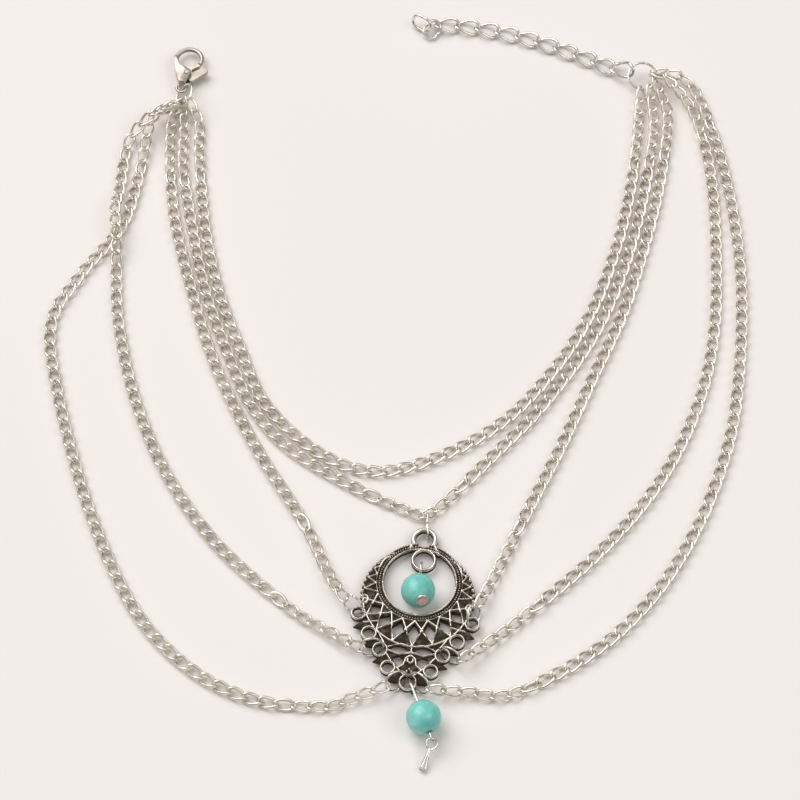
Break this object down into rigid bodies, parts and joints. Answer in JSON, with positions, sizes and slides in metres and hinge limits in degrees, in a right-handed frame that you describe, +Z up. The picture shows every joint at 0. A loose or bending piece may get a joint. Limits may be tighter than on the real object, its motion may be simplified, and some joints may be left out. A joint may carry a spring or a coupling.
{
  "type": "multi-strand chain anklet",
  "caption": "Silver chain anklet with curb-chain strands, a pierced crescent pendant, turquoise stone beads, a lobster clasp and an extender chain",
  "frame": {"origin": "centre of the base, on the surface the anklet lies on", "axes": "+X right across the open loop, +Y from the drop charm to the clasp, +Z up"},
  "size_m": [0.1302, 0.1612, 0.006],
  "materials": {
    "silver": "polished silver-plated metal",
    "old_silver": "cast silver-coloured metal with dark recesses and worn bright edges",
    "stone": "smooth opaque turquoise-coloured stone"
  },
  "bodies": {
    "anklet": {"clasp_body": "silver", "clasp_pin": "silver", "clasp_ring": "silver", "end_ring": "silver", "extender_link_1": "silver", "extender_link_2": "silver", "extender_link_3": "silver", "extender_link_4": "silver", "extender_link_5": "silver", "extender_link_6": "silver", "extender_link_7": "silver", "extender_link_8": "silver", "extender_link_9": "silver", "extender_link_10": "silver", "extender_link_11": "silver", "extender_link_12": "silver", "strand_1": "silver", "strand_2": "silver", "strand_3_left": "silver", "strand_3_right": "silver", "strand_4_left": "silver", "strand_4_right": "silver", "strand_5_left": "silver", "strand_5_right": "silver", "hanger_link": "silver", "pendant": "old_silver", "ring_3_left": "silver", "ring_3_right": "silver", "ring_4_left": "silver", "ring_4_right": "silver", "ring_5_left": "silver", "ring_5_right": "silver", "upper_bead": "stone", "upper_pin": "silver", "lower_bead": "stone", "lower_pin": "silver", "drop_charm": "silver"},
    "lever": {"clasp_lever": "silver"}
  },
  "joints": [
    {"name": "lever_hinge", "type": "hinge", "parent": "anklet", "child": "lever", "pos_m": [-0.0412, 0.06559, 0.0014], "axis": [0, 0, 1], "range_deg": [-22, 0], "stiffness_Nm_per_rad": 0.005}
  ]
}
